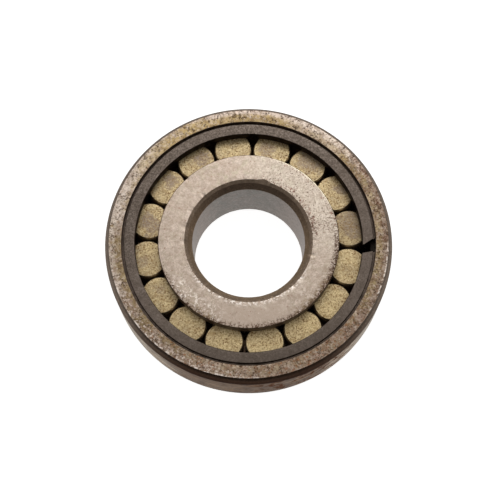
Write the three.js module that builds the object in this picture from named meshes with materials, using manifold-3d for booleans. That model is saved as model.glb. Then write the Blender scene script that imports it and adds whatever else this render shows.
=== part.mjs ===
// A full-complement cylindrical roller bearing, 22 x 56 mm, 16 mm wide at the inner ring.
//
// Two hardened rings with a single row of parallel rollers between them and no cage. The inner ring
// guides the rollers between two ribs. The outer ring is narrower. It has one integral flange below,
// and a groove above, where a split retaining ring snaps in and keeps the rollers from coming out.
// The two rings are flush on the retaining ring's side, and the inner ring stands out on the other.
//
// Millimetres. The origin is on the bearing's axis at the middle of the inner ring's width, +Z runs
// along the axis towards the retaining ring, and the first roller stands FIRST_ROLLER_DEG from +X.

import * as THREE from 'three';
import { mergeVertices } from 'three/addons/utils/BufferGeometryUtils.js';
import Module from 'manifold-3d';

// ---------------------------------------------------------------- driving dimensions

const BORE_RADIUS = 11;
const OUTER_RADIUS = 28;
const INNER_WIDTH = 16;
const OUTER_WIDTH = 13;

const ROLLER_COUNT = 16;
const ROLLER_RADIUS = 3.75;
const ROLLER_LENGTH = 8;
const ROLLER_END_DEPTH = 2.5;  // of the rollers' upper ends below the rings' flush faces
const PITCH_RADIUS = 20;
const FIRST_ROLLER_DEG = 7.9;

const RACE_CLEARANCE = 0.04;   // between a roller and each raceway, measured radially
const END_CLEARANCE = 0.05;    // between a roller's end and each rib
const RIB_RADIUS = 17.6;       // outside of the inner ring's two ribs
const FLANGE_RADIUS = 22.1;    // bore of the outer ring's flange and of the retaining ring

// The bore's corners are two cones, the outer one flatter.
const BORE_CORNER_RADIAL = 1.47;
const BORE_CORNER_AXIAL = 1.88;
const BORE_CORNER_FLAT_RADIAL = 0.6;
const BORE_CORNER_FLAT_AXIAL = 0.5;
const RIB_EDGE = 0.15;

// The outside's corners are most of a quarter of an ellipse, cut off where the face is ground.
const OUTER_CORNER_REACH = 1.2;
const OUTER_CORNER_RISE = 1.95;
const OUTER_CORNER_END_DEG = 75;

const LIP_RADIUS = 24.65;      // bore of the outer ring's lip over the retaining ring
const LIP_DEPTH = 1;           // from the ring's face down to the groove
const GROOVE_RADIUS = 25.1;
const SMALL_EDGE = 0.12;       // broken edges on the lip, flange and retaining ring

const RELIEF_WIDTH = 0.5;      // turned relief where a raceway meets a rib or flange
const RELIEF_DEPTH = 0.2;

const SNAP_DROP = 0.15;        // how far the retaining ring lies below the outer ring's face
const SNAP_NECK_RADIUS = 24.2; // its outside in the lip
const SNAP_SEAT_RADIUS = 25;
const SNAP_BEVEL = 0.35;
const SNAP_FLOAT = 0.1;        // its axial play in the groove, above and below

// The retaining ring's two slanted ends, as [angle at the flange bore, angle at the neck].
const SPLIT_END_HIGH = [-3.6, -0.2];
const SPLIT_END_LOW = [-7.9, -6.4];

const ROLLER_CORNER_RADIAL = 0.23;
const ROLLER_CORNER_AXIAL = 0.35;

const RING_SEGMENTS = 96;
const ROLLER_SEGMENTS = 28;
const CORNER_STEPS = 4;

// ---------------------------------------------------------------- dimensions that follow

const FACE = INNER_WIDTH / 2;
const OUTER_FAR_FACE = FACE - OUTER_WIDTH;
const ROLLER_TOP = FACE - ROLLER_END_DEPTH;
const ROLLER_BOTTOM = ROLLER_TOP - ROLLER_LENGTH;
const TRACK_TOP = ROLLER_TOP + END_CLEARANCE;
const TRACK_BOTTOM = ROLLER_BOTTOM - END_CLEARANCE;
const INNER_RACE_RADIUS = PITCH_RADIUS - ROLLER_RADIUS - RACE_CLEARANCE;
const OUTER_RACE_RADIUS = PITCH_RADIUS + ROLLER_RADIUS + RACE_CLEARANCE;
const GROOVE_TOP = FACE - LIP_DEPTH;

const wasm = await Module();
wasm.setup();

// ---------------------------------------------------------------- shape helpers

const radians = THREE.MathUtils.degToRad;

// A point on a profile: its distance from the axis and its height.
function at(radius, height) {
  return new THREE.Vector2(radius, height);
}

// The same points turned upside down about a height, in the opposite order.
function flipped(points, height) {
  return points.map((point) => at(point.x, 2 * height - point.y)).reverse();
}

// Turns a profile, listed from bottom to top on its outside, about the Z axis.
function turned(profile, segments) {
  const geometry = new THREE.LatheGeometry(profile, segments);
  geometry.rotateX(Math.PI / 2);
  return geometry;
}

function toManifold(geometry) {
  const bare = geometry.clone();
  bare.deleteAttribute('normal');
  bare.deleteAttribute('uv');
  const merged = mergeVertices(bare);
  return new wasm.Manifold(new wasm.Mesh({
    numProp: 3,
    vertProperties: new Float32Array(merged.attributes.position.array),
    triVerts: new Uint32Array(merged.index.array),
  }));
}

function fromManifold(solid) {
  const mesh = solid.getMesh();
  const geometry = new THREE.BufferGeometry();
  geometry.setAttribute('position', new THREE.BufferAttribute(mesh.vertProperties, 3));
  geometry.setIndex(new THREE.BufferAttribute(mesh.triVerts, 1));
  geometry.computeVertexNormals();
  return geometry;
}

// ---------------------------------------------------------------- outer ring

// The corner between the outside and the upper face, tangent to the outside.
function outerCorner() {
  const points = [];
  for (let step = 0; step <= CORNER_STEPS; step += 1) {
    const angle = radians(OUTER_CORNER_END_DEG * step / CORNER_STEPS);
    const inset = OUTER_CORNER_REACH * (1 - Math.cos(angle));
    const drop = OUTER_CORNER_RISE * (Math.sin(radians(OUTER_CORNER_END_DEG)) - Math.sin(angle));
    points.push(at(OUTER_RADIUS - inset, FACE - drop));
  }
  return points;
}

function outerRingGeometry() {
  const corner = outerCorner();
  const profile = [
    at(FLANGE_RADIUS + SMALL_EDGE, OUTER_FAR_FACE),
    ...flipped(corner, FACE - OUTER_WIDTH / 2),
    ...corner,
    at(LIP_RADIUS + SMALL_EDGE, FACE),
    at(LIP_RADIUS, FACE - SMALL_EDGE),
    at(LIP_RADIUS, GROOVE_TOP),
    at(GROOVE_RADIUS, GROOVE_TOP),
    at(GROOVE_RADIUS, TRACK_TOP),
    at(OUTER_RACE_RADIUS, TRACK_TOP),
    at(OUTER_RACE_RADIUS, TRACK_BOTTOM + RELIEF_WIDTH),
    at(OUTER_RACE_RADIUS + RELIEF_DEPTH, TRACK_BOTTOM + RELIEF_WIDTH / 2),
    at(OUTER_RACE_RADIUS + RELIEF_DEPTH, TRACK_BOTTOM),
    at(FLANGE_RADIUS, TRACK_BOTTOM),
    at(FLANGE_RADIUS, OUTER_FAR_FACE + SMALL_EDGE),
    at(FLANGE_RADIUS + SMALL_EDGE, OUTER_FAR_FACE),
  ];
  return turned(profile, RING_SEGMENTS);
}

// ---------------------------------------------------------------- inner ring

// One end of the inner ring, from its raceway out over the rib and in to its bore. The track's end
// is the height where the rib starts.
function innerRingEnd(trackEnd) {
  return [
    at(INNER_RACE_RADIUS, trackEnd - RELIEF_WIDTH),
    at(INNER_RACE_RADIUS - RELIEF_DEPTH, trackEnd - RELIEF_WIDTH / 2),
    at(INNER_RACE_RADIUS - RELIEF_DEPTH, trackEnd),
    at(RIB_RADIUS, trackEnd),
    at(RIB_RADIUS, FACE - RIB_EDGE),
    at(RIB_RADIUS - RIB_EDGE, FACE),
    at(BORE_RADIUS + BORE_CORNER_RADIAL, FACE),
    at(BORE_RADIUS + BORE_CORNER_RADIAL - BORE_CORNER_FLAT_RADIAL, FACE - BORE_CORNER_FLAT_AXIAL),
    at(BORE_RADIUS, FACE - BORE_CORNER_AXIAL),
  ];
}

function innerRingGeometry() {
  const lowerEnd = flipped(innerRingEnd(-TRACK_BOTTOM), 0);
  const upperEnd = innerRingEnd(TRACK_TOP);
  return turned([...lowerEnd, ...upperEnd, lowerEnd[0]], RING_SEGMENTS);
}

// ---------------------------------------------------------------- retaining ring

// A prism that fills the split: its four sides run through the ends' corners, well past the ring.
function splitCutter() {
  const tall = 2 * INNER_WIDTH;
  const beyond = 1.5;
  const onEnd = (ends, radius) => {
    const share = (radius - FLANGE_RADIUS) / (SNAP_NECK_RADIUS - FLANGE_RADIUS);
    const angle = radians(ends[0] + (ends[1] - ends[0]) * share);
    return at(radius * Math.cos(angle), radius * Math.sin(angle));
  };
  const outline = new THREE.Shape([
    onEnd(SPLIT_END_LOW, FLANGE_RADIUS - beyond),
    onEnd(SPLIT_END_LOW, SNAP_SEAT_RADIUS + beyond),
    onEnd(SPLIT_END_HIGH, SNAP_SEAT_RADIUS + beyond),
    onEnd(SPLIT_END_HIGH, FLANGE_RADIUS - beyond),
  ]);
  const geometry = new THREE.ExtrudeGeometry(outline, { depth: tall, bevelEnabled: false });
  geometry.translate(0, 0, -tall / 2);
  return geometry;
}

function retainingRingGeometry() {
  const top = FACE - SNAP_DROP;
  const bottom = TRACK_TOP + SNAP_FLOAT;
  const shoulder = GROOVE_TOP - SNAP_FLOAT;
  const profile = [
    at(FLANGE_RADIUS + SMALL_EDGE, bottom),
    at(SNAP_SEAT_RADIUS - SNAP_BEVEL, bottom),
    at(SNAP_SEAT_RADIUS, bottom + SNAP_BEVEL),
    at(SNAP_SEAT_RADIUS, shoulder),
    at(SNAP_NECK_RADIUS, shoulder),
    at(SNAP_NECK_RADIUS, top - SMALL_EDGE),
    at(SNAP_NECK_RADIUS - SMALL_EDGE, top),
    at(FLANGE_RADIUS + SMALL_EDGE, top),
    at(FLANGE_RADIUS, top - SMALL_EDGE),
    at(FLANGE_RADIUS, bottom + SMALL_EDGE),
    at(FLANGE_RADIUS + SMALL_EDGE, bottom),
  ];
  const ring = toManifold(turned(profile, RING_SEGMENTS));
  return fromManifold(ring.subtract(toManifold(splitCutter())));
}

// ---------------------------------------------------------------- rollers

function rollerGeometry() {
  const half = ROLLER_LENGTH / 2;
  const profile = [
    at(0, -half),
    at(ROLLER_RADIUS - ROLLER_CORNER_RADIAL, -half),
    at(ROLLER_RADIUS, ROLLER_CORNER_AXIAL - half),
    at(ROLLER_RADIUS, half - ROLLER_CORNER_AXIAL),
    at(ROLLER_RADIUS - ROLLER_CORNER_RADIAL, half),
    at(0, half),
  ];
  return turned(profile, ROLLER_SEGMENTS);
}

function rollerAngle(index) {
  return radians(FIRST_ROLLER_DEG + index * 360 / ROLLER_COUNT);
}

// ---------------------------------------------------------------- materials

function steel(color, roughness) {
  return new THREE.MeshStandardMaterial({ color, roughness, metalness: 0.8 });
}

const INNER_RING_COLOR = 0xc3b0a2;
const OUTER_RING_COLOR = 0x9b8873;
const RETAINING_RING_COLOR = 0x645c58;
const ROLLER_COLOR = 0xa6986f;

// ---------------------------------------------------------------- assembly

const bearing = new THREE.Group();

function add(name, geometry, color, roughness) {
  const mesh = new THREE.Mesh(geometry, steel(color, roughness));
  mesh.name = name;
  bearing.add(mesh);
  return mesh;
}

add('outer_ring', outerRingGeometry(), OUTER_RING_COLOR, 0.6);
add('inner_ring', innerRingGeometry(), INNER_RING_COLOR, 0.5);
add('retaining_ring', retainingRingGeometry(), RETAINING_RING_COLOR, 0.55);

const roller = rollerGeometry();
const rollerMiddle = (ROLLER_TOP + ROLLER_BOTTOM) / 2;
for (let index = 0; index < ROLLER_COUNT; index += 1) {
  const angle = rollerAngle(index);
  const name = `roller_${String(index + 1).padStart(2, '0')}`;
  const mesh = add(name, roller, ROLLER_COLOR, 0.5);
  mesh.position.set(PITCH_RADIUS * Math.cos(angle), PITCH_RADIUS * Math.sin(angle), rollerMiddle);
  mesh.rotation.z = angle;
}

export default bearing;
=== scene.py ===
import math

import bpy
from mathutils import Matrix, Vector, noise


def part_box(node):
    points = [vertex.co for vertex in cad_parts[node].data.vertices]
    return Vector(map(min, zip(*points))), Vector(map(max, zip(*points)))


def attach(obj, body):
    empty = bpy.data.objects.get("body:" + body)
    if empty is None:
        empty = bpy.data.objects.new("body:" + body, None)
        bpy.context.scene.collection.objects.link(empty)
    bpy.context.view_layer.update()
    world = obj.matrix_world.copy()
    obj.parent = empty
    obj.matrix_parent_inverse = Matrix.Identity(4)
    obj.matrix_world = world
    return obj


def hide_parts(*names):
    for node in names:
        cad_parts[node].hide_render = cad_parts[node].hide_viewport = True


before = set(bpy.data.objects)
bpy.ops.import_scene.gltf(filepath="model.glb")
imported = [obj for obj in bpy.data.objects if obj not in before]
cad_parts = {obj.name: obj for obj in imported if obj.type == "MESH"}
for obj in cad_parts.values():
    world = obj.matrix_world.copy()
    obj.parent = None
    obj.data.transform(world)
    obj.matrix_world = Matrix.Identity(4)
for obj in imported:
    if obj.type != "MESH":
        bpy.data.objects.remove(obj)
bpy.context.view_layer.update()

# The looks of a worn full-complement cylindrical roller bearing.
#
# Every CAD node is replaced by a finely turned piece of the same size, with rounded edges, small
# nicks and a material of its own for each kind of surface: ground faces, unground corners, the
# ground bore and outside, the tempered retaining ring and the oil-stained roller ends.
#
# Lengths are in millimetres until a vertex, a lamp or the camera is placed. Angles go anticlockwise
# from +X as seen from above, in degrees in every size and every patch of a material.

MM = 0.001

# ---------------------------------------------------------------- sizes, from the frame

outer_low, outer_high = (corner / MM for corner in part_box("outer_ring"))
inner_low, inner_high = (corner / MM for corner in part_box("inner_ring"))
snap_low, snap_high = (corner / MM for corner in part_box("retaining_ring"))
roller_names = sorted(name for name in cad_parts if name.startswith("roller_"))
roller_low, roller_high = (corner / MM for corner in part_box(roller_names[0]))

FACE = outer_high.z
FAR_FACE = inner_low.z
OUTER_FAR_FACE = outer_low.z
OUTER_RADIUS = outer_high.x
RIB_RADIUS = inner_high.x
SNAP_TOP = snap_high.z
SNAP_BOTTOM = snap_low.z
SNAP_SEAT_RADIUS = -snap_low.x
ROLLER_TOP = roller_high.z
ROLLER_BOTTOM = roller_low.z

BORE_RADIUS = 11
BORE_CORNER_RADIAL = 1.47
BORE_CORNER_AXIAL = 1.88
BORE_CORNER_FLAT_RADIAL = 0.6
BORE_CORNER_FLAT_AXIAL = 0.5
OUTER_CORNER_REACH = 1.2
OUTER_CORNER_RISE = 1.95
OUTER_CORNER_END_DEG = 75
RACE_CLEARANCE = 0.04
END_CLEARANCE = 0.05
FLANGE_RADIUS = 22.1
LIP_RADIUS = 24.65
LIP_DEPTH = 1
GROOVE_RADIUS = 25.1
RELIEF_WIDTH = 0.5
RELIEF_DEPTH = 0.2
SNAP_NECK_RADIUS = 24.2
SNAP_BEVEL = 0.35
SNAP_FLOAT = 0.1
SPLIT_END_HIGH = (-3.6, -0.2)
SPLIT_END_LOW = (-7.9, -6.4)
ROLLER_RADIUS = 3.75
ROLLER_CORNER_RADIAL = 0.23
ROLLER_CORNER_AXIAL = 0.35
PITCH_RADIUS = 20

# How far edges are broken before they are rounded, and the radii they are rounded to.
FINE_EDGE = 0.08
FLANGE_EDGE = 0.12
RIB_EDGE_RADIAL = 0.12
RIB_EDGE_AXIAL = 0.15
CRISP = 0.05
FINE = 0.06
FLANGE_FILLET = 0.08
EASED = 0.1
SOFT = 0.12
ROOT = 0.15
ROLLER_SHOULDER = 0.2
SPLIT_END_BEVEL = 0.06
SPLIT_END_BEVEL_DEG = 60

# The chip at the bore's corner: its first, deepest and last degree, and its depth.
BORE_CHIP = (69, 74.5, 82, 0.42)

# Smears of rubbed oil on the rollers' ends: angle, radius, size and strength.
ROLLER_SMEARS = (
    (10, 21.0, 3.4, 0.9),
    (31, 21.3, 1.4, 0.9),
    (54, 21.0, 2.5, 0.85),
    (78, 19.8, 1.7, 0.8),
    (117, 20.0, 1.6, 1.0),
    (139, 20.2, 1.6, 0.9),
    (167, 19.8, 2.2, 1.0),
    (190, 21.0, 1.2, 0.6),
    (208, 19.4, 1.1, 0.6),
)

TRACK_TOP = ROLLER_TOP + END_CLEARANCE
TRACK_BOTTOM = ROLLER_BOTTOM - END_CLEARANCE
INNER_RACE_RADIUS = PITCH_RADIUS - ROLLER_RADIUS - RACE_CLEARANCE
OUTER_RACE_RADIUS = PITCH_RADIUS + ROLLER_RADIUS + RACE_CLEARANCE
BORE_EDGE_RADIUS = BORE_RADIUS + BORE_CORNER_RADIAL

# ---------------------------------------------------------------- turned meshes

RING_SEGMENTS = 480
ROLLER_SEGMENTS = 96
OUTER_CORNER_STEPS = 8
ARC_STEPS = 5
LONGEST_STEP = 0.7
MOST_OF_A_STRETCH = 0.45
ON_THE_AXIS = 1e-6
SHARP_DEG = 38

NICK_SPREAD = 5
NICK_SCALE = 2.2
NICK_OCTAVES = 4
NICK_START = 0.12
NICK_GAIN = 1.6
BURR_DEPTH = 0.06
BURR_SCALE = 9
CHIP_UNEVENNESS = 0.2


class Corner:
    """A corner of a turned piece's outline. The surface that leaves it has the named zone. Nicks up
    to nick mm deep are knocked out of its edge, and a chip, as (first, deepest and last degree,
    depth), moves the edge outwards."""

    def __init__(self, radius, height, zone, fillet=0.0, nick=0.0, chip=None):
        self.at = Vector((radius, height))
        self.zone = zone
        self.fillet = fillet
        self.nick = nick
        self.chip = chip


def outline(corners):
    """The points of a closed outline, as (place, zone of the stretch that follows, inward direction,
    the corner it belongs to, if any). Corners are rounded, and long stretches are divided."""
    points = []
    for i, corner in enumerate(corners):
        before, after = corners[i - 1], corners[(i + 1) % len(corners)]
        back, ahead = before.at - corner.at, after.at - corner.at
        inward = (back.normalized() + ahead.normalized()).normalized()
        if corner.fillet:
            half = back.angle(ahead) / 2
            room = MOST_OF_A_STRETCH * min(back.length, ahead.length)
            reach = min(corner.fillet / math.tan(half), room)
            start = corner.at + back.normalized() * reach
            end = corner.at + ahead.normalized() * reach
            for step in range(ARC_STEPS + 1):
                t = step / ARC_STEPS
                place = start * (1 - t) ** 2 + corner.at * 2 * t * (1 - t) + end * t * t
                zone = before.zone if t < 0.5 else corner.zone
                points.append((place, zone, inward, corner))
        else:
            end = corner.at
            points.append((end, corner.zone, inward, corner))
        stretch = after.at - end
        pieces = int(stretch.length / LONGEST_STEP)
        for step in range(1, pieces):
            points.append((end + stretch * step / pieces, corner.zone, inward, None))
    return points


def nick_depth(angle, height, seed):
    """From 0 to 1: mostly next to nothing, with a bite here and there along an edge."""
    place = Vector((math.cos(angle) * NICK_SPREAD, math.sin(angle) * NICK_SPREAD, height + seed))
    rough = noise.fractal(place * NICK_SCALE, 1.0, 2.0, NICK_OCTAVES)
    burr = BURR_DEPTH * abs(noise.noise(place * BURR_SCALE))
    return max(0.0, rough - NICK_START) * NICK_GAIN + burr


def chip_depth(angle, chip):
    """How far a chip has moved an edge at an angle."""
    first, deepest, last, depth = chip
    turn = math.degrees(angle) % 360
    if turn < first or turn > last:
        return 0.0
    foot = first if turn < deepest else last
    slope = (turn - foot) / (deepest - foot)
    return depth * slope * (1 + CHIP_UNEVENNESS * noise.noise((turn, 0.0, 0.0)))


def add_object(name, data):
    """A new object in the scene that shows a mesh, a lamp or a camera."""
    thing = bpy.data.objects.new(name, data)
    bpy.context.scene.collection.objects.link(thing)
    return thing


def turned(name, corners, materials, seed, centre=(0.0, 0.0), segments=RING_SEGMENTS, ends=None):
    """A piece turned from a closed outline about an upright axis at centre. materials is {zone:
    material}, and another seed puts the nicks elsewhere. ends is a pair of functions from radius to
    angle where the ring is cut, or None for a whole ring, and the cut ends have the first zone. An
    outline that touches the axis closes there."""
    points = outline(corners)
    zones = list(materials)
    whole = ends is None
    columns = segments if whole else segments + 1
    vertices, faces, face_zones, index = [], [], [], []
    for column in range(columns):
        row = []
        for place, _, inward, corner in points:
            radius, height = place
            share = column / segments
            if whole:
                angle = 2 * math.pi * share
            else:
                first, last = math.radians(ends[0](radius)), math.radians(ends[1](radius))
                angle = first + (last - first) * share
            if corner and corner.nick:
                bite = corner.nick * nick_depth(angle, height, seed)
                radius += inward.x * bite
                height += inward.y * bite
            if corner and corner.chip:
                radius += chip_depth(angle, corner.chip)
            if radius < ON_THE_AXIS and column:
                row.append(index[0][len(row)])
                continue
            row.append(len(vertices))
            x = centre[0] + radius * math.cos(angle)
            y = centre[1] + radius * math.sin(angle)
            vertices.append((x * MM, y * MM, height * MM))
        index.append(row)
    for column in range(segments):
        here, there = index[column], index[(column + 1) % columns]
        for i in range(len(points)):
            j = (i + 1) % len(points)
            face = list(dict.fromkeys((here[i], there[i], there[j], here[j])))
            if len(face) > 2:
                faces.append(face)
                face_zones.append(zones.index(points[i][1]))
    if not whole:
        faces += [index[0], list(reversed(index[-1]))]
        face_zones += [0, 0]
    mesh = bpy.data.meshes.new(name)
    mesh.from_pydata(vertices, [], faces)
    for zone in zones:
        mesh.materials.append(materials[zone])
    mesh.polygons.foreach_set("material_index", face_zones)
    mesh.polygons.foreach_set("use_smooth", [True] * len(faces))
    mesh.validate()
    mesh.update()
    mesh.set_sharp_from_angle(angle=math.radians(SHARP_DEG))
    return add_object(name, mesh)


# ---------------------------------------------------------------- material helpers


def tone(red, green, blue):
    """A colour as the eye names it, 0 to 255, turned into Blender's linear RGBA."""
    def linear(value):
        share = value / 255
        return share / 12.92 if share <= 0.04045 else ((share + 0.055) / 1.055) ** 2.4
    return (linear(red), linear(green), linear(blue), 1.0)


class Finish:
    """A material being made, with short names for the nodes that it's made of. Positions are in
    millimetres in the bearing's own frame, so a pattern stays on the metal when the piece moves."""

    def __init__(self, name, metallic=0.95):
        self.material = bpy.data.materials.new(name)
        self.material.use_nodes = True
        self.nodes = self.material.node_tree.nodes
        self.links = self.material.node_tree.links
        self.shader = self.nodes["Principled BSDF"]
        self.shader.inputs["Metallic"].default_value = metallic
        coords = self.nodes.new("ShaderNodeTexCoord").outputs["Object"]
        self.place = self.vector("SCALE", coords, scale=1 / MM)
        split = self.nodes.new("ShaderNodeSeparateXYZ")
        self.links.new(self.place, split.inputs[0])
        self.height = split.outputs["Z"]
        self.flat = self.combine(split.outputs["X"], split.outputs["Y"], 0.0)
        self.radius = self.vector("LENGTH", self.flat)
        self.outward = self.vector("NORMALIZE", self.flat)

    def put(self, value, socket):
        """Links another node's output to a socket, or sets the socket to a fixed value."""
        if isinstance(value, bpy.types.NodeSocket):
            self.links.new(value, socket)
        else:
            socket.default_value = value

    def vector(self, operation, a, b=None, scale=None):
        node = self.nodes.new("ShaderNodeVectorMath")
        node.operation = operation
        self.put(a, node.inputs[0])
        if b is not None:
            self.put(b, node.inputs[1])
        if scale is not None:
            self.put(scale, node.inputs["Scale"])
        is_number = operation in ("LENGTH", "DOT_PRODUCT", "DISTANCE")
        return node.outputs["Value" if is_number else "Vector"]

    def combine(self, x, y, z):
        node = self.nodes.new("ShaderNodeCombineXYZ")
        for value, socket in zip((x, y, z), node.inputs):
            self.put(value, socket)
        return node.outputs[0]

    def number(self, operation, a, b, clamp=False):
        node = self.nodes.new("ShaderNodeMath")
        node.operation = operation
        node.use_clamp = clamp
        self.put(a, node.inputs[0])
        self.put(b, node.inputs[1])
        return node.outputs[0]

    def both(self, a, b):
        return self.number("MULTIPLY", a, b)

    def capped(self, a, b):
        """Both, kept between 0 and 1."""
        return self.number("MULTIPLY", a, b, clamp=True)

    def plus(self, a, b):
        return self.number("ADD", a, b)

    def minus(self, a, b):
        return self.number("SUBTRACT", a, b)

    def share(self, value, low, high, smooth=True):
        """0 where the value is at low, 1 where it is at high, and in between from one to the other."""
        node = self.nodes.new("ShaderNodeMapRange")
        node.interpolation_type = "SMOOTHSTEP" if smooth else "LINEAR"
        self.put(value, node.inputs["Value"])
        self.put(low, node.inputs["From Min"])
        self.put(high, node.inputs["From Max"])
        return node.outputs["Result"]

    def cloud(self, scale, detail=4.0, roughness=0.55, distortion=0.0, place=None, offset=0.0):
        """Soft noise from 0 to 1, about scale patches in a millimetre."""
        node = self.nodes.new("ShaderNodeTexNoise")
        node.inputs["Scale"].default_value = scale
        node.inputs["Detail"].default_value = detail
        node.inputs["Roughness"].default_value = roughness
        node.inputs["Distortion"].default_value = distortion
        spot = self.place if place is None else place
        if offset:
            spot = self.vector("ADD", spot, (offset, offset * 0.7, offset * 1.3))
        self.links.new(spot, node.inputs["Vector"])
        return node.outputs["Fac"]

    def around(self, lengthwise, crosswise):
        """Coordinates that change slowly round the ring and fast across it, for turning marks."""
        slow = self.vector("SCALE", self.outward, scale=lengthwise)
        across = self.both(self.plus(self.radius, self.height), crosswise)
        return self.vector("ADD", slow, self.combine(0.0, 0.0, across))

    def facing(self, angle, narrow, wide):
        """1 within narrow degrees of an angle round the ring, 0 past wide degrees of it."""
        way = (math.cos(math.radians(angle)), math.sin(math.radians(angle)), 0.0)
        toward = self.vector("DOT_PRODUCT", self.outward, way)
        low, high = math.cos(math.radians(wide)), math.cos(math.radians(narrow))
        return self.share(toward, low, high)

    def spot(self, angle, radius, size):
        """1 inside a patch with a ragged edge, size millimetres in radius, at a place on the ring."""
        turn = math.radians(angle)
        middle = (radius * math.cos(turn), radius * math.sin(turn), 0.0)
        away = self.vector("DISTANCE", self.flat, middle)
        ragged = self.both(self.plus(self.cloud(0.6, 4, 0.65, offset=53.0), -0.5), 2.2 * size)
        return self.share(self.plus(away, ragged), 1.2 * size, 0.7 * size)

    def mix(self, share, a, b):
        """Colour a where the share is 0, colour b where it is 1."""
        node = self.nodes.new("ShaderNodeMix")
        node.data_type = "RGBA"
        self.put(share, node.inputs["Factor"])
        self.put(a, node.inputs["A"])
        self.put(b, node.inputs["B"])
        return node.outputs["Result"]

    def finish(self, colour, roughness, height=None, depth=0.02, sheen=1.0):
        """Connects the colour, the roughness and a relief of that depth in millimetres. A sheen under
        1 dulls what the surface mirrors at a slant."""
        self.put(colour, self.shader.inputs["Base Color"])
        self.put(roughness, self.shader.inputs["Roughness"])
        self.shader.inputs["Specular Tint"].default_value = (sheen, sheen, sheen, 1)
        if height is not None:
            bump = self.nodes.new("ShaderNodeBump")
            bump.inputs["Strength"].default_value = 1
            bump.inputs["Distance"].default_value = depth * MM
            self.links.new(height, bump.inputs["Height"])
            self.links.new(bump.outputs["Normal"], self.shader.inputs["Normal"])
        return self.material

    def clear_from_behind(self):
        """Makes the back of a surface see-through, so that it hides nothing from below."""
        clear = self.nodes.new("ShaderNodeBsdfTransparent")
        either = self.nodes.new("ShaderNodeMixShader")
        behind = self.nodes.new("ShaderNodeNewGeometry").outputs["Backfacing"]
        self.links.new(behind, either.inputs["Fac"])
        self.links.new(self.shader.outputs[0], either.inputs[1])
        self.links.new(clear.outputs[0], either.inputs[2])
        self.links.new(either.outputs[0], self.nodes["Material Output"].inputs["Surface"])


# ---------------------------------------------------------------- materials
#
# Each is built up in layers: f.mix lays a tone over the colour so far by a share. That share is a
# cloud, times where the layer is wanted: f.facing(angle, narrow, wide) round the ring, f.share of
# f.radius or f.height across it. A cloud's offset only makes it differ from the other clouds.

THICK_OIL_METALLIC = 0.4
OLD_OIL = (124, 98, 72)


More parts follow.
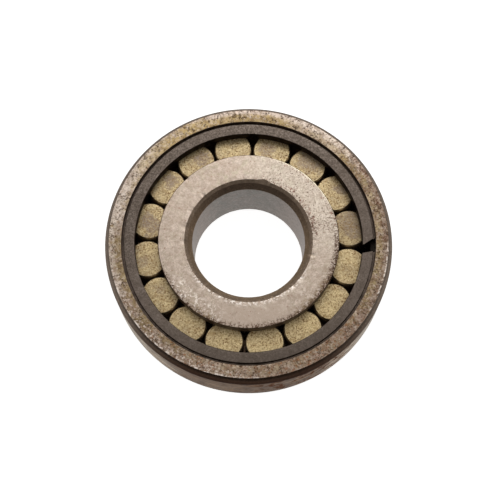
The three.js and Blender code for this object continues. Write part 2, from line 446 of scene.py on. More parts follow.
def inner_face_steel():
    """The inner ring's ground faces: pinkish beige, finely grained, freckled with rust on one side
    and along both edges, with one rubbed smooth patch, painted glints by the bore on the near side and
    a painted highlight along part of the rim."""
    f = Finish("inner_face_steel")
    marble = f.share(f.cloud(0.5, 4, 0.6, 0.3), 0.36, 0.64)
    colour = f.mix(marble, tone(192, 174, 158), tone(219, 202, 187))
    sage = f.share(f.cloud(0.7, 3, 0.6, 0.5, offset=61.0), 0.48, 0.62)
    sage = f.both(sage, f.plus(0.4, f.both(f.facing(80, 25, 60), 0.6)))
    colour = f.mix(sage, colour, tone(197, 185, 163))
    colour = f.mix(f.both(f.facing(40, 25, 62), 0.54), colour, tone(232, 222, 205))
    mottle = f.share(f.cloud(1.4, 4, 0.65, offset=4.0), 0.40, 0.64)
    colour = f.mix(f.both(mottle, 0.50), colour, tone(162, 144, 128))
    grain = f.share(f.cloud(2.9, 4, 0.78, offset=8.0), 0.40, 0.60)
    colour = f.mix(f.both(grain, 0.44), colour, tone(156, 138, 122))
    pale = f.share(f.cloud(1.1, 4, 0.7, 0.6, offset=87.0), 0.53, 0.63)
    colour = f.mix(f.both(pale, f.plus(0.14, f.both(f.facing(330, 30, 100), 0.36))), colour,
                   tone(230, 217, 203))
    clean = f.both(f.facing(272, 16, 30), f.share(f.cloud(0.6, 3, 0.6, 0.4), 0.40, 0.47))
    clean = f.both(clean, f.share(f.radius, 13.2, 13.8))
    colour = f.mix(f.both(clean, 0.9), colour, tone(188, 170, 154))
    fleck = f.share(f.cloud(1.7, 4, 0.7, offset=17.0), 0.52, 0.58)
    flecked = f.both(f.facing(228, 13, 26), f.share(f.radius, 14.0, 15.6))
    fleck = f.both(fleck, f.plus(0.12, flecked))
    colour = f.mix(f.capped(fleck, 0.9), colour, tone(238, 226, 214))
    at_bore = f.share(f.radius, BORE_EDGE_RADIUS + 1.9, BORE_EDGE_RADIUS)
    at_rim = f.share(f.radius, RIB_RADIUS - 2.0, RIB_RADIUS)
    upper = f.facing(40, 26, 46)
    right = f.facing(348, 20, 40)
    lower_left = f.facing(226, 20, 40)
    lower_right = f.facing(318, 34, 52)
    at_bore = f.both(at_bore, f.plus(f.plus(f.both(upper, 0.2), f.both(right, 0.1)),
                                     f.plus(f.both(lower_left, 0.8), 0.3)))
    at_rim = f.both(at_rim, f.plus(0.15, f.both(f.plus(lower_left, lower_right), 1.5)))
    edge = f.plus(f.plus(at_bore, at_rim), f.plus(f.both(upper, 0.80), f.both(right, 0.42)))
    line = f.minus(0.69, f.both(edge, 0.12))
    rust = f.share(f.cloud(3.0, 4, 0.72, offset=31.0), line, f.plus(line, 0.04))
    colour = f.mix(f.both(rust, 0.8), colour, tone(118, 86, 70))
    blotted = f.share(f.radius, BORE_EDGE_RADIUS + 2.4, BORE_EDGE_RADIUS + 0.5)
    blotted = f.plus(blotted, f.share(f.radius, RIB_RADIUS - 1.2, RIB_RADIUS))
    blotted = f.both(blotted, 0.08)
    blotted = f.plus(blotted, f.both(f.plus(f.cloud(0.7, 3, 0.6, offset=103.0), -0.5), 0.2))
    line = f.minus(0.62, f.both(blotted, f.facing(40, 26, 52)))
    blot = f.share(f.cloud(2.0, 4, 0.72, offset=83.0), line, f.plus(line, 0.05))
    colour = f.mix(f.both(blot, 0.75), colour, tone(140, 100, 86))
    notched = f.share(f.radius, RIB_RADIUS - 1.5, RIB_RADIUS - 0.2)
    notched = f.both(notched, f.plus(f.facing(242, 28, 42), lower_right))
    notch = f.share(f.cloud(1.9, 4, 0.7, offset=53.0), 0.50, 0.56)
    notch = f.capped(f.both(notch, notched), 0.85)
    colour = f.mix(notch, colour, tone(92, 70, 54))
    stain = f.plus(f.both(f.facing(236, 6, 16), 0.6), f.both(f.facing(318, 10, 26), 0.5))
    stain = f.both(stain, f.share(f.cloud(1.4, 4, 0.6, offset=23.0), 0.44, 0.60))
    stain = f.both(stain, f.share(f.radius, RIB_RADIUS - 2.4, RIB_RADIUS - 0.8))
    colour = f.mix(stain, colour, tone(138, 116, 84))
    # Painted glints: bright flecks along the bore's edge on the near side stand for light caught along
    # that edge.
    bright = f.share(f.cloud(2.0, 4, 0.6, offset=40.0), 0.50, 0.57)
    bright = f.both(bright, f.share(f.radius, BORE_EDGE_RADIUS + 1.0, BORE_EDGE_RADIUS + 0.2))
    bright = f.both(bright, f.facing(270, 42, 72))
    colour = f.mix(bright, colour, tone(244, 234, 224))
    # Painted highlight: a thin bright line on the rim's edge, towards 46 degrees, where that edge
    # catches the light.
    rubbed = f.both(f.share(f.radius, RIB_RADIUS - 0.36, RIB_RADIUS - 0.14), f.facing(46, 12, 32))
    colour = f.mix(f.both(rubbed, 0.8), colour, tone(255, 244, 214))
    rough = f.plus(f.both(marble, 0.08), f.plus(0.42, f.both(rust, 0.3)))
    relief = f.minus(f.both(grain, 0.3), f.both(rust, 0.7))
    return f.finish(colour, rough, relief, 0.012)


def outer_face_steel():
    """The outer ring's ground faces: pale with tan patches on one side, browner and rustier on the
    other, speckled all over with fine dark pits, and bright along parts of the outer edge, partly worn
    bare and partly painted highlight."""
    f = Finish("outer_face_steel")
    inner_half = f.plus(f.share(f.radius, 26.7, 25.1), -0.5)
    split = f.plus(0.10, f.plus(f.both(f.facing(95, 50, 80), 0.12), f.both(f.facing(10, 30, 60), 0.14)))
    broad = f.plus(f.cloud(0.42, 5, 0.68, 0.3), f.both(inner_half, split))
    broad = f.plus(broad, f.both(f.plus(f.facing(158, 10, 22), f.facing(54, 8, 18)), -0.07))
    tan = f.share(broad, 0.42, 0.58)
    pale = f.mix(tan, tone(208, 192, 178), tone(170, 148, 108))
    brown = f.mix(tan, tone(166, 146, 130), tone(148, 130, 98))
    cleaner = f.facing(112, 52, 80)
    colour = f.mix(cleaner, brown, pale)
    gold = f.plus(f.facing(108, 33, 49), f.both(f.facing(49, 6, 16), 0.8))
    reach = f.plus(f.radius, f.both(f.facing(128, 12, 24), -0.7))
    gold = f.both(gold, f.share(reach, 26.7, 25.9))
    gold = f.both(gold, f.share(f.cloud(0.8, 4, 0.65, offset=95.0), 0.30, 0.50))
    colour = f.mix(f.both(gold, 0.8), colour, tone(181, 158, 110))
    colour = f.mix(f.both(f.facing(56, 8, 16), 0.34), colour, tone(228, 217, 205))
    outward = f.share(f.radius, 25.7, 26.2)
    bare = f.both(f.share(f.cloud(0.7, 4, 0.65, offset=121.0), 0.40, 0.52), outward)
    bare = f.both(bare, f.plus(f.facing(49, 7, 16), f.both(f.facing(179, 18, 28), 0.75)))
    colour = f.mix(f.both(bare, 0.85), colour, tone(224, 210, 194))
    colour = f.mix(f.both(f.facing(152, 10, 24), 0.26), colour, tone(224, 214, 204))
    colour = f.mix(f.both(f.facing(280, 20, 55), 0.30), colour, tone(212, 190, 172))
    olive = f.plus(f.facing(5, 20, 38), f.facing(190, 8, 20))
    olive = f.both(olive, f.share(f.radius, 26.6, 25.8))
    olive = f.both(olive, f.share(f.cloud(0.7, 4, 0.6, offset=37.0), 0.36, 0.52))
    colour = f.mix(f.both(olive, 0.7), colour, tone(164, 146, 108))
    inward = f.minus(1.0, outward)
    darker = f.plus(f.plus(f.facing(31, 6, 12), f.facing(72, 14, 26)), f.facing(181, 7, 14))
    dirty = f.plus(f.both(f.both(f.facing(0, 18, 34), outward), 0.40),
                   f.both(f.both(darker, inward), 0.28))
    faded = f.both(f.plus(f.facing(14, 5, 12), f.facing(255, 7, 14)), inward)
    colour = f.mix(f.both(faded, 0.25), colour, tone(208, 188, 164))
    dirty = f.plus(dirty, f.both(f.plus(f.facing(240, 8, 20), f.facing(300, 10, 24)), 0.18))
    colour = f.mix(dirty, colour, tone(104, 84, 62))
    red = f.share(f.cloud(0.6, 4, 0.65, offset=13.0), 0.44, 0.58)
    outer_half = f.plus(0.45, f.both(f.share(f.radius, 25.6, 26.4), 0.5))
    red_way = f.plus(f.both(f.facing(16, 18, 32), outer_half), f.both(f.facing(292, 30, 60), 0.5))
    red = f.both(red, f.plus(0.12, red_way))
    colour = f.mix(f.capped(red, 0.8), colour, tone(130, 98, 80))
    mottle = f.share(f.cloud(1.3, 4, 0.72, 0.3, offset=7.0), 0.42, 0.62)
    colour = f.mix(f.both(mottle, 0.56), colour, tone(118, 96, 72))
    bright = f.share(f.cloud(1.9, 4, 0.72, offset=33.0), 0.50, 0.60)
    flecked = f.plus(0.5, f.both(f.facing(228, 30, 50), f.share(f.radius, 25.4, 26.2)))
    colour = f.mix(f.capped(bright, f.both(flecked, 0.8)), colour,
                   tone(216, 200, 186))
    fine = f.share(f.cloud(2.8, 4, 0.75, offset=107.0), 0.54, 0.61)
    colour = f.mix(f.both(fine, f.both(f.facing(22, 34, 60), 0.5)), colour, tone(200, 176, 158))
    orange = f.share(f.cloud(2.1, 4, 0.72, offset=79.0), 0.54, 0.62)
    colour = f.mix(f.both(orange, f.plus(0.25, f.both(f.facing(272, 30, 60), 0.6))), colour,
                   tone(152, 104, 70))
    clumps = f.both(f.plus(f.cloud(0.6, 3, 0.6, offset=45.0), -0.5), 0.32)
    pitted = f.plus(f.cloud(2.7, 4, 0.74, offset=51.0), clumps)
    speck = f.share(pitted, 0.53, 0.61)
    colour = f.mix(f.both(speck, f.plus(0.68, f.both(cleaner, 0.08))), colour, tone(82, 61, 45))
    # Partly worn bare and partly painted highlight: bright flecks along the outermost edge on the right
    # and lower left.
    worn_and_highlit_edge = f.share(f.cloud(0.9, 4, 0.7, offset=66.0), 0.50, 0.56)
    worn_and_highlit_edge = f.both(worn_and_highlit_edge, f.share(f.radius, 26.75, 26.9))
    worn_and_highlit_edge = f.both(worn_and_highlit_edge, f.plus(f.facing(342, 10, 18), f.facing(235, 30, 44)))
    colour = f.mix(f.both(worn_and_highlit_edge, 0.85), colour, tone(244, 232, 222))
    rough = f.plus(0.46, f.both(f.plus(red, speck), 0.2))
    relief = f.minus(f.both(bright, 0.3), f.both(speck, 0.7))
    return f.finish(colour, rough, relief, 0.015)


def unground_steel(name, shade, painted_shade_tone=None, painted_shade_side=None):
    """Corners left as they came from the furnace: even, with a faint grain round the ring. With a
    second, darker tone and its side, as (angle, narrow, wide) of facing, the scale goes over to that
    tone there, as painted shade."""
    f = Finish(name)
    marks = f.cloud(1.0, 5, 0.6, place=f.around(8.0, 3.0))
    cloud = f.share(f.cloud(0.8, 4, 0.6), 0.35, 0.7)
    worn = f.both(f.share(f.cloud(2.4, 4, 0.7, offset=5.0), 0.54, 0.66), 0.4)
    specks = f.both(f.share(f.cloud(2.3, 4, 0.75, offset=71.0), 0.50, 0.62), 0.4)

    def scale(full):
        """The tone of the scale, darker in clouds and specks and lighter where it is worn."""
        clouded = f.mix(cloud, tone(*full), tone(*(0.93 * part for part in full)))
        speckled = f.mix(specks, clouded, tone(*(0.72 * part for part in full)))
        return f.mix(worn, speckled, tone(*(1.35 * part for part in full)))

    colour = scale(shade)
    if painted_shade_tone:
        # Painted shade: the darker tone is laid on the side where less light falls.
        colour = f.mix(f.facing(*painted_shade_side), colour, scale(painted_shade_tone))
    rough = f.plus(0.40, f.both(marks, 0.15))
    return f.finish(colour, rough, marks, 0.008, sheen=0.35)


def bore_steel():
    """The ground bore: neutral grey with fine marks round it, browner towards its sides."""
    f = Finish("bore_steel")
    marks = f.cloud(1.0, 6, 0.65, place=f.around(5.0, 9.0))
    cloud = f.share(f.cloud(0.4, 4, 0.6), 0.3, 0.7)
    colour = f.mix(cloud, tone(136, 127, 121), tone(120, 114, 107))
    sides = f.plus(f.facing(5, 20, 60), f.facing(175, 20, 60))
    colour = f.mix(f.both(sides, 0.7), colour, tone(158, 141, 130))
    teal = f.share(f.cloud(0.8, 4, 0.65, offset=109.0), 0.46, 0.60)
    colour = f.mix(f.both(f.both(teal, f.facing(105, 20, 50)), 0.4), colour, tone(118, 121, 116))
    grain = f.share(f.cloud(1.9, 4, 0.75, offset=37.0), 0.42, 0.62)
    colour = f.mix(f.both(grain, 0.52), colour, tone(92, 86, 81))
    bright = f.share(f.cloud(2.2, 4, 0.72, offset=63.0), 0.50, 0.62)
    colour = f.mix(f.both(bright, 0.3), colour, tone(168, 161, 155))
    colour = f.mix(f.both(f.share(marks, 0.45, 0.7), 0.3), colour, tone(100, 95, 90))
    stain = f.share(f.cloud(1.0, 5, 0.7, 0.6, offset=11.0), 0.58, 0.70)
    colour = f.mix(f.both(stain, 0.45), colour, tone(96, 80, 66))
    rough = f.plus(0.30, f.both(marks, 0.2))
    return f.finish(colour, rough, marks, 0.005, sheen=0.7)


def outside_steel():
    """The ground outside: grey-brown, streaked round the ring, with rust blooms, two ragged patches of
    painted highlight that look like bare bright steel, and a thin painted highlight under the top
    corner on the lower right."""
    f = Finish("outside_steel")
    marks = f.cloud(1.0, 6, 0.65, place=f.around(7.0, 3.0))
    cloud = f.share(f.cloud(0.25, 4, 0.6, 0.4), 0.40, 0.60)
    colour = f.mix(cloud, tone(152, 127, 106), tone(126, 104, 87))
    ragged = f.both(f.plus(f.cloud(1.0, 4, 0.65, 0.3, place=f.around(6.0, 1.4)), -0.5), 2.4)
    # Painted highlights: two ragged bright patches on the lower half, at the lower left and lower
    # right, made to look like bare steel.
    painted_highlight = f.plus(f.facing(218, 2, 32), f.facing(320, 2, 30))
    painted_highlight = f.share(f.plus(painted_highlight, ragged), 0.50, 1.10)
    uneven = f.plus(0.5, f.both(f.share(f.cloud(0.5, 4, 0.6, offset=2.0), 0.36, 0.52), 0.5))
    painted_highlight = f.both(painted_highlight, f.share(f.height, FACE - 1.8, FACE - 3.6))
    colour = f.mix(f.both(painted_highlight, uneven), colour, tone(244, 230, 208))
    streaks = f.share(f.cloud(1.0, 4, 0.6, place=f.around(4.0, 1.6)), 0.50, 0.60)
    streaks = f.both(streaks, f.plus(f.facing(306, 10, 24), f.facing(240, 14, 32)))
    colour = f.mix(f.both(streaks, 0.7), colour, tone(204, 172, 138))
    colour = f.mix(f.both(f.share(marks, 0.42, 0.62), 0.45), colour, tone(86, 68, 56))
    # Painted highlight: a thin bright line just under the top corner on the lower right, where that
    # edge catches the light.
    rubbed = f.both(f.facing(309, 8, 17), f.share(f.height, FACE - 2.9, FACE - 2.3))
    rubbed = f.both(rubbed, f.plus(0.35, f.share(f.cloud(1.2, 4, 0.6, offset=35.0), 0.40, 0.56)))
    colour = f.mix(f.capped(rubbed, 0.8), colour, tone(232, 208, 178))
    bloom = f.share(f.cloud(0.5, 5, 0.68, 0.5, offset=9.0), 0.48, 0.60)
    bloom = f.both(bloom, f.plus(0.2, f.facing(293, 12, 26)))
    colour = f.mix(f.capped(bloom, 0.85), colour, tone(104, 70, 52))
    dull = f.share(f.cloud(0.7, 4, 0.65, 0.4, offset=99.0), 0.46, 0.60)
    dull = f.both(dull, f.plus(0.3, f.both(f.facing(279, 8, 22), 0.35)))
    colour = f.mix(dull, colour, tone(84, 64, 52))
    speck = f.share(f.cloud(2.8, 4, 0.75, offset=17.0), 0.60, 0.67)
    colour = f.mix(f.both(speck, 0.6), colour, tone(58, 44, 36))
    rough = f.plus(0.28, f.plus(f.both(bloom, 0.3), f.both(marks, 0.15)))
    relief = f.minus(f.both(marks, 0.3), speck)
    return f.finish(colour, rough, relief, 0.01, sheen=0.35)


def oiled_steel(name, shade, metallic=0.9, split_shadow=False):
    """Surfaces inside, under old dark oil, with faint turning marks. Thick oil looks less metallic.
    When asked, a painted shadow goes black below the retaining ring's split, where one looks into the
    groove."""
    f = Finish(name, metallic)
    marks = f.cloud(1.0, 5, 0.6, place=f.around(6.0, 6.0))
    cloud = f.share(f.cloud(0.8, 4, 0.6), 0.35, 0.65)
    colour = f.mix(cloud, tone(*shade), tone(*(0.8 * part for part in shade)))
    rust = f.share(f.cloud(1.6, 5, 0.7, offset=6.0), 0.56, 0.68)
    colour = f.mix(f.both(rust, 0.35), colour, tone(72, 46, 34))
    if split_shadow:
        # Painted shadow: black below the retaining ring's split, where one looks into the shaded
        # groove.
        colour = f.mix(f.both(f.facing(-4, 5, 7), 0.9), colour, tone(16, 12, 9))
    return f.finish(colour, f.plus(0.34, f.both(cloud, 0.16)), marks, 0.006, sheen=0.5)


def spring_steel():
    """The retaining ring: evenly tempered dark taupe with a fine grain and a few dark dots, and painted
    shade towards the near side and a little on the right.
    """
    f = Finish("spring_steel")
    marks = f.cloud(1.0, 5, 0.6, place=f.around(7.0, 4.0))
    cloud = f.share(f.cloud(0.5, 4, 0.6), 0.3, 0.7)
    colour = f.mix(cloud, tone(124, 112, 103), tone(110, 98, 89))
    # Painted shade: darker on the near side and a little on the right, where less light falls.
    shaded = f.plus(f.both(f.facing(275, 25, 62), 0.32), f.both(f.facing(12, 16, 46), 0.18))
    colour = f.mix(shaded, colour, tone(80, 70, 62))
    mottle = f.share(f.cloud(1.4, 4, 0.7, offset=59.0), 0.42, 0.60)
    colour = f.mix(f.both(mottle, 0.34), colour, tone(80, 70, 61))
    coarse = f.plus(0.45, f.both(f.facing(110, 40, 120), 0.55))
    grain = f.share(f.cloud(2.8, 4, 0.78, offset=14.0), 0.40, 0.58)
    colour = f.mix(f.both(grain, f.both(coarse, 0.7)), colour, tone(72, 63, 55))
    light = f.share(f.cloud(2.1, 4, 0.75, offset=75.0), 0.53, 0.62)
    colour = f.mix(f.both(light, f.both(coarse, 0.55)), colour, tone(144, 131, 121))
    speck = f.share(f.cloud(2.6, 4, 0.7, offset=29.0), 0.65, 0.70)
    colour = f.mix(f.both(speck, 0.7), colour, tone(50, 40, 34))
    rough = f.plus(0.42, f.both(grain, 0.1))
    relief = f.minus(f.both(f.plus(marks, grain), 0.2), speck)
    return f.finish(colour, rough, relief, 0.01, sheen=0.8)


def roller_end_steel():
    """The rollers' ends: khaki with old oil, finely pitted, and rubbed grey across some of them."""
    f = Finish("roller_end_steel")
    cloud = f.share(f.cloud(0.4, 4, 0.6, 0.3), 0.38, 0.62)
    colour = f.mix(cloud, tone(213, 193, 151), tone(186, 168, 135))
    cleaner = f.facing(286, 16, 54)
    colour = f.mix(f.both(cleaner, 0.34), colour, tone(246, 222, 168))
    smear = 0.0
    for angle, radius, size, strength in ROLLER_SMEARS:
        smear = f.number("MAXIMUM", f.both(f.spot(angle, radius, size), strength), smear)
    colour = f.mix(smear, colour, tone(152, 137, 123))
    tawny = f.share(f.cloud(1.3, 4, 0.7, offset=91.0), 0.46, 0.62)
    oil = f.share(smear, 2.4, 0.0, smooth=False)
    colour = f.mix(f.both(f.both(tawny, oil), 0.48), colour, tone(160, 130, 86))
    light = f.share(f.cloud(2.1, 4, 0.72, offset=71.0), 0.50, 0.60)
    colour = f.mix(f.both(f.both(light, oil), 0.56), colour, tone(232, 213, 168))
    fine = f.share(f.cloud(3.1, 4, 0.75, offset=97.0), 0.44, 0.60)
    colour = f.mix(f.both(fine, 0.54), colour, tone(138, 110, 66))
    clumps = f.both(f.plus(f.cloud(0.5, 3, 0.6, offset=77.0), -0.5), 0.25)
    pitted = f.plus(f.cloud(2.9, 3, 0.65, offset=83.0), clumps)
    pit = f.both(f.share(pitted, 0.54, 0.62), oil)
    colour = f.mix(f.both(pit, 0.74), colour, tone(122, 87, 52))
    colour = f.mix(f.both(f.facing(8, 8, 13), 0.22), colour, tone(104, 88, 62))
    rough = f.plus(0.45, f.both(pit, 0.15))
    relief = f.minus(f.both(light, 0.25), f.both(pit, 0.25))
    return f.finish(colour, rough, relief, 0.012)


def roller_rim_steel():
    """The rollers' rounded rims: brighter than their ends, where the oil has been rubbed off."""
    f = Finish("roller_rim_steel")
    cloud = f.share(f.cloud(1.2, 4, 0.6), 0.35, 0.65)
    colour = f.mix(cloud, tone(176, 160, 134), tone(138, 120, 92))
    return f.finish(colour, f.plus(0.32, f.both(cloud, 0.14)), cloud, 0.004)


# ---------------------------------------------------------------- pieces


def outer_corner(face, up, zone):
    """The rounded corner between the outside and a face, from the outside up to the face's edge."""
    end = math.radians(OUTER_CORNER_END_DEG)
    corners = []
    for step in range(OUTER_CORNER_STEPS + 1):
        angle = end * step / OUTER_CORNER_STEPS
        radius = OUTER_RADIUS - OUTER_CORNER_REACH * (1 - math.cos(angle))
        height = face - up * OUTER_CORNER_RISE * (math.sin(end) - math.sin(angle))
        corners.append(Corner(radius, height, zone))
    corners[0].nick = 0.03
    corners[-1].fillet = FINE
    corners[-1].nick = 0.08
    return corners


def outer_ring():
    below = outer_corner(OUTER_FAR_FACE, -1, "corner")
    below.reverse()
    below[-1].zone = "outside"
    above = outer_corner(FACE, 1, "corner")
    above[-1].zone = "face"
    relief = OUTER_RACE_RADIUS + RELIEF_DEPTH
    corners = [
        Corner(FLANGE_RADIUS + FLANGE_EDGE, OUTER_FAR_FACE, "face", FLANGE_FILLET),
        *below,
        *above,
        Corner(LIP_RADIUS + FINE_EDGE, FACE, "lip", CRISP, nick=0.06),
        Corner(LIP_RADIUS, FACE - FINE_EDGE, "lip", CRISP),
        Corner(LIP_RADIUS, FACE - LIP_DEPTH, "hidden", FINE),
        Corner(GROOVE_RADIUS, FACE - LIP_DEPTH, "hidden"),
        Corner(GROOVE_RADIUS, TRACK_TOP, "hidden", EASED),
        Corner(OUTER_RACE_RADIUS, TRACK_TOP, "hidden", EASED),
        Corner(OUTER_RACE_RADIUS, TRACK_BOTTOM + RELIEF_WIDTH, "hidden", EASED),
        Corner(relief, TRACK_BOTTOM + RELIEF_WIDTH / 2, "hidden", ROOT),
        Corner(relief, TRACK_BOTTOM, "hidden", EASED),
        Corner(FLANGE_RADIUS, TRACK_BOTTOM, "flange", ROOT),
        Corner(FLANGE_RADIUS, OUTER_FAR_FACE + FLANGE_EDGE, "flange", FLANGE_FILLET),
    ]
    dark = oiled_steel("outer_ring_oiled_steel", OLD_OIL, THICK_OIL_METALLIC, split_shadow=True)
    materials = {
        "face": outer_face_steel(),
        # The corner's darker tone towards the near side (270 degrees) is half painted shade and half
        # darker scale.
        "corner": unground_steel("outer_corner_steel", (127, 114, 103), (61, 46, 37), (270, 16, 72)),
        "outside": outside_steel(),
        "hidden": dark,
        "lip": oiled_steel("lip_steel", (142, 122, 105)),
        "flange": oiled_steel("flange_steel", (124, 100, 76), THICK_OIL_METALLIC),
    }
    return turned("outer_ring_look", corners, materials, seed=3.0)


def inner_ring():
    def end(face, track_end, side, chip=None):
        """One end's corners, from the raceway out over the rib and in to the bore."""
        relief = INNER_RACE_RADIUS - RELIEF_DEPTH
        middle = BORE_EDGE_RADIUS - BORE_CORNER_FLAT_RADIAL
        return [
            Corner(INNER_RACE_RADIUS, track_end - side * RELIEF_WIDTH, "hidden", EASED),
            Corner(relief, track_end - side * RELIEF_WIDTH / 2, "hidden", ROOT),
            Corner(relief, track_end, "hidden", EASED),
            Corner(RIB_RADIUS, track_end, "rib", ROOT),
            Corner(RIB_RADIUS, face - side * RIB_EDGE_AXIAL, "rib", CRISP, nick=0.05),
            Corner(RIB_RADIUS - RIB_EDGE_RADIAL, face, "face", FINE, nick=0.09),
            Corner(BORE_EDGE_RADIUS, face, "step", CRISP, nick=0.14, chip=chip),
            Corner(middle, face - side * BORE_CORNER_FLAT_AXIAL, "corner", SOFT),
            Corner(BORE_RADIUS, face - side * BORE_CORNER_AXIAL, "bore", SOFT, nick=0.03),
        ]

    upper = end(FACE, TRACK_TOP, 1, BORE_CHIP)
    lower = end(FAR_FACE, TRACK_BOTTOM, -1)
    # Backwards, a stretch leaves from its other corner, so the zones move along by one.
    zones = [corner.zone for corner in lower]
    lower.reverse()
    for corner, zone in zip(lower, reversed([zones[-1], *zones[:-1]])):
        corner.zone = zone
    dark = oiled_steel("raceway_steel", OLD_OIL, THICK_OIL_METALLIC)
    materials = {
        "face": inner_face_steel(),
        "step": unground_steel("bore_step_steel", (158, 138, 119)),
        # Painted light and shade: the bore corner is lighter on most sides and darker towards 84
        # degrees, following how the light falls round it.
        "corner": unground_steel("bore_corner_steel", (178, 156, 132), (128, 112, 97), (84, 14, 86)),
        "bore": bore_steel(),
        "rib": oiled_steel("rib_steel", (112, 90, 70), THICK_OIL_METALLIC),
        "hidden": dark,
    }
    return turned("inner_ring_look", lower + upper, materials, seed=11.0)


def retaining_ring():
    shoulder = FACE - LIP_DEPTH - SNAP_FLOAT
    corners = [
        Corner(FLANGE_RADIUS, SNAP_BOTTOM, "wall", SOFT),
        Corner(SNAP_SEAT_RADIUS - SNAP_BEVEL, SNAP_BOTTOM, "wall", EASED),
        Corner(SNAP_SEAT_RADIUS, SNAP_BOTTOM + SNAP_BEVEL, "wall", EASED),
        Corner(SNAP_SEAT_RADIUS, shoulder, "shoulder", EASED),
        Corner(SNAP_NECK_RADIUS, shoulder, "neck", CRISP),
        Corner(SNAP_NECK_RADIUS, SNAP_TOP - FINE_EDGE, "wall", CRISP, nick=0.03),
        Corner(SNAP_NECK_RADIUS - FINE_EDGE, SNAP_TOP, "top", CRISP, nick=0.03),
        Corner(FLANGE_RADIUS + FINE_EDGE, SNAP_TOP, "wall", CRISP, nick=0.03),
        Corner(FLANGE_RADIUS, SNAP_TOP - FINE_EDGE, "wall", CRISP),
    ]

    def along(end, turn):
        """The angle of one slanted end at a radius."""
        def angle(radius):
            share = (radius - FLANGE_RADIUS) / (SNAP_NECK_RADIUS - FLANGE_RADIUS)
            return end[0] + (end[1] - end[0]) * share + turn
        return angle

    ends = (along(SPLIT_END_HIGH, 0), along(SPLIT_END_LOW, 360))
    materials = {
        # The walls are painted far darker than the top: painted shade for faces that stand in shadow.
        "wall": oiled_steel("retaining_ring_shaded_wall_steel", (54, 43, 35)),
        "top": spring_steel(),
        "neck": oiled_steel("retaining_ring_neck_steel", (127, 109, 94)),
        "shoulder": oiled_steel("retaining_ring_shoulder_steel", (118, 104, 94)),
    }
    piece = turned("retaining_ring_look", corners, materials, seed=19.0, ends=ends)
    bevel = piece.modifiers.new("deburred ends", "BEVEL")
    bevel.width = SPLIT_END_BEVEL * MM
    bevel.segments = 2
    bevel.limit_method = "ANGLE"
    bevel.angle_limit = math.radians(SPLIT_END_BEVEL_DEG)
    return piece


def roller(name, materials):
    low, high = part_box(name)
    middle = (low + high) / 2 / MM
    flat = ROLLER_RADIUS - ROLLER_CORNER_RADIAL
    corners = [
        Corner(0, ROLLER_BOTTOM, "end"),
        Corner(flat, ROLLER_BOTTOM, "rim", EASED, nick=0.03),
        Corner(ROLLER_RADIUS, ROLLER_BOTTOM + ROLLER_CORNER_AXIAL, "side", ROLLER_SHOULDER),
        Corner(ROLLER_RADIUS, ROLLER_TOP - ROLLER_CORNER_AXIAL, "rim", ROLLER_SHOULDER),
        Corner(flat, ROLLER_TOP, "end", EASED, nick=0.03),
        Corner(0, ROLLER_TOP, "end"),
    ]
    seed = middle.x + 2 * middle.y
    return turned(f"{name}_look", corners, materials, seed, (middle.x, middle.y), ROLLER_SEGMENTS)


def install(piece, node, body):
    """Rides a finished piece on a body, in place of a CAD node."""
    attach(piece, body)
    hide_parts(node)


install(outer_ring(), "outer_ring", "outer_ring")
install(inner_ring(), "inner_ring", "inner_ring")
install(retaining_ring(), "retaining_ring", "outer_ring")
roller_materials = {
    "end": roller_end_steel(),
    "rim": roller_rim_steel(),
    "side": oiled_steel("roller_side_steel", (140, 116, 84), THICK_OIL_METALLIC),
}
for roller_name in roller_names:
    install(roller(roller_name, roller_materials), roller_name, roller_name)

# ---------------------------------------------------------------- floor, light and camera

FLOOR_HALF_WIDTH = 3000
FLOOR_DROP = 0.02
FLOOR_GLOW = 0.90
SHADED_FLOOR_GLOW = 0.02
FLOOR_GREY = (0.45, 0.45, 0.45, 1)
FLOOR_WHITE = (1, 1, 1, 1)
FLOOR_BROWN = (1.0, 0.62, 0.36, 1)

SOFTBOX_PLACE = (15, 160, 180)
SOFTBOX_WIDTH = 170
SOFTBOX_WATTS = 0.17

SKY_BRIGHT_WAY = (0.05, 0.60, 0.80)
SKY_DARK_BELOW = -0.4
SKY_BRIGHT_ABOVE = 0.9
SKY_DARK = 0.08
SKY_BRIGHT = 0.66
SKY_COLOUR = (1.0, 0.99, 0.98, 1)

CAMERA_DISTANCE = 221.8
CAMERA_ELEVATION = 73.04
CAMERA_ROLL = -1.04
CAMERA_RIGHT = -1.177
CAMERA_UP = -0.52
CAMERA_LENS = 85.0
CAMERA_SENSOR = 36
CAMERA_NEAR_M = 0.01
CAMERA_FAR_M = 20


def floor():
    """White paper over a light table, shaded under the rings except where the inner ring covers it,
    so that the face lying on it isn't black when it is looked at from below."""
    half = FLOOR_HALF_WIDTH * MM
    ground = (FAR_FACE - FLOOR_DROP) * MM
    mesh = bpy.data.meshes.new("floor")
    sides = ((-half, -half), (half, -half), (half, half), (-half, half))
    mesh.from_pydata([(x, y, ground) for x, y in sides], [], [(0, 1, 2, 3)])
    f = Finish("floor_paper", metallic=0)
    shade = f.both(f.share(f.radius, BORE_RADIUS + 0.5, BORE_RADIUS + 2.5),
                   f.share(f.radius, OUTER_RADIUS - 1.0, OUTER_RADIUS - 4.0))
    covered = f.both(f.share(f.radius, BORE_EDGE_RADIUS + 0.2, BORE_EDGE_RADIUS + 0.6),
                     f.share(f.radius, RIB_RADIUS - 0.4, RIB_RADIUS - 0.8))
    shade = f.both(shade, f.share(covered, 1.0, 0.0, smooth=False))
    glow = f.share(shade, 1.0, 0.0, smooth=False)
    f.put(f.plus(f.both(glow, FLOOR_GLOW), SHADED_FLOOR_GLOW), f.shader.inputs["Emission Strength"])
    f.put(f.mix(shade, FLOOR_WHITE, FLOOR_BROWN), f.shader.inputs["Emission Color"])
    f.shader.inputs["Specular IOR Level"].default_value = 0.1
    f.finish(FLOOR_GREY, 0.9)
    f.clear_from_behind()
    mesh.materials.append(f.material)
    piece = add_object("floor", mesh)


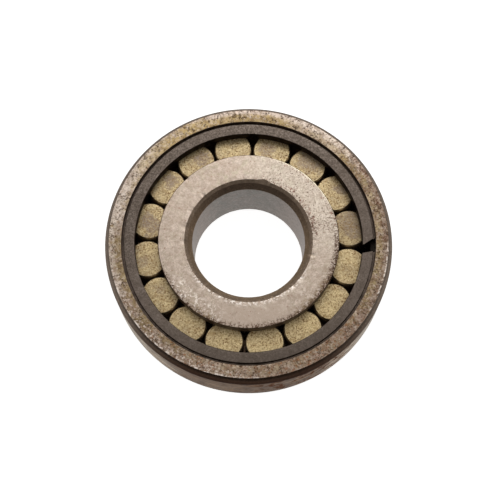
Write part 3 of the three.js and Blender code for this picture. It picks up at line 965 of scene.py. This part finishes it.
def softbox():
    """A square soft light above and behind the bearing, turned to it."""
    lamp = bpy.data.lights.new("back_softbox", "AREA")
    lamp.shape = "SQUARE"
    lamp.size = SOFTBOX_WIDTH * MM
    lamp.energy = SOFTBOX_WATTS
    holder = add_object("back_softbox", lamp)
    holder.location = Vector(SOFTBOX_PLACE) * MM
    holder.rotation_mode = "QUATERNION"
    holder.rotation_quaternion = (-holder.location).to_track_quat("-Z", "Y")


def camera():
    """The photograph's view: from above on the near side, with a long lens."""
    elevation, roll = math.radians(CAMERA_ELEVATION), math.radians(CAMERA_ROLL)
    back = Vector((0, -math.cos(elevation), math.sin(elevation)))
    right = Vector((1, 0, 0))
    up = back.cross(right)
    aim = Vector((0, 0, FACE))
    place = aim + back * CAMERA_DISTANCE + right * CAMERA_RIGHT + up * CAMERA_UP
    rolled_right = right * math.cos(roll) + up * math.sin(roll)
    rolled_up = up * math.cos(roll) - right * math.sin(roll)
    turn = Matrix((rolled_right, rolled_up, back)).transposed()
    lens = bpy.data.cameras.new("camera")
    lens.lens = CAMERA_LENS
    lens.sensor_width = CAMERA_SENSOR
    lens.clip_start, lens.clip_end = CAMERA_NEAR_M, CAMERA_FAR_M
    holder = add_object("camera", lens)
    holder.matrix_world = Matrix.LocRotScale(place * MM, turn.to_quaternion(), None)
    bpy.context.scene.camera = holder


def surroundings():
    """A soft sky, brightest above and behind the bearing and dim in front of it and below."""
    world = bpy.data.worlds.new("studio")
    world.use_nodes = True
    nodes, links = world.node_tree.nodes, world.node_tree.links
    coords = nodes.new("ShaderNodeTexCoord")
    lean = nodes.new("ShaderNodeVectorMath")
    lean.operation = "DOT_PRODUCT"
    lean.inputs[1].default_value = SKY_BRIGHT_WAY
    links.new(coords.outputs["Generated"], lean.inputs[0])
    level = nodes.new("ShaderNodeMapRange")
    level.interpolation_type = "SMOOTHSTEP"
    level.inputs["From Min"].default_value = SKY_DARK_BELOW
    level.inputs["From Max"].default_value = SKY_BRIGHT_ABOVE
    level.inputs["To Min"].default_value = SKY_DARK
    level.inputs["To Max"].default_value = SKY_BRIGHT
    links.new(lean.outputs["Value"], level.inputs["Value"])
    background = nodes["Background"]
    background.inputs["Color"].default_value = SKY_COLOUR
    links.new(level.outputs["Result"], background.inputs["Strength"])
    bpy.context.scene.world = world


floor()
softbox()
surroundings()
camera()
bpy.context.scene.view_settings.view_transform = "Standard"
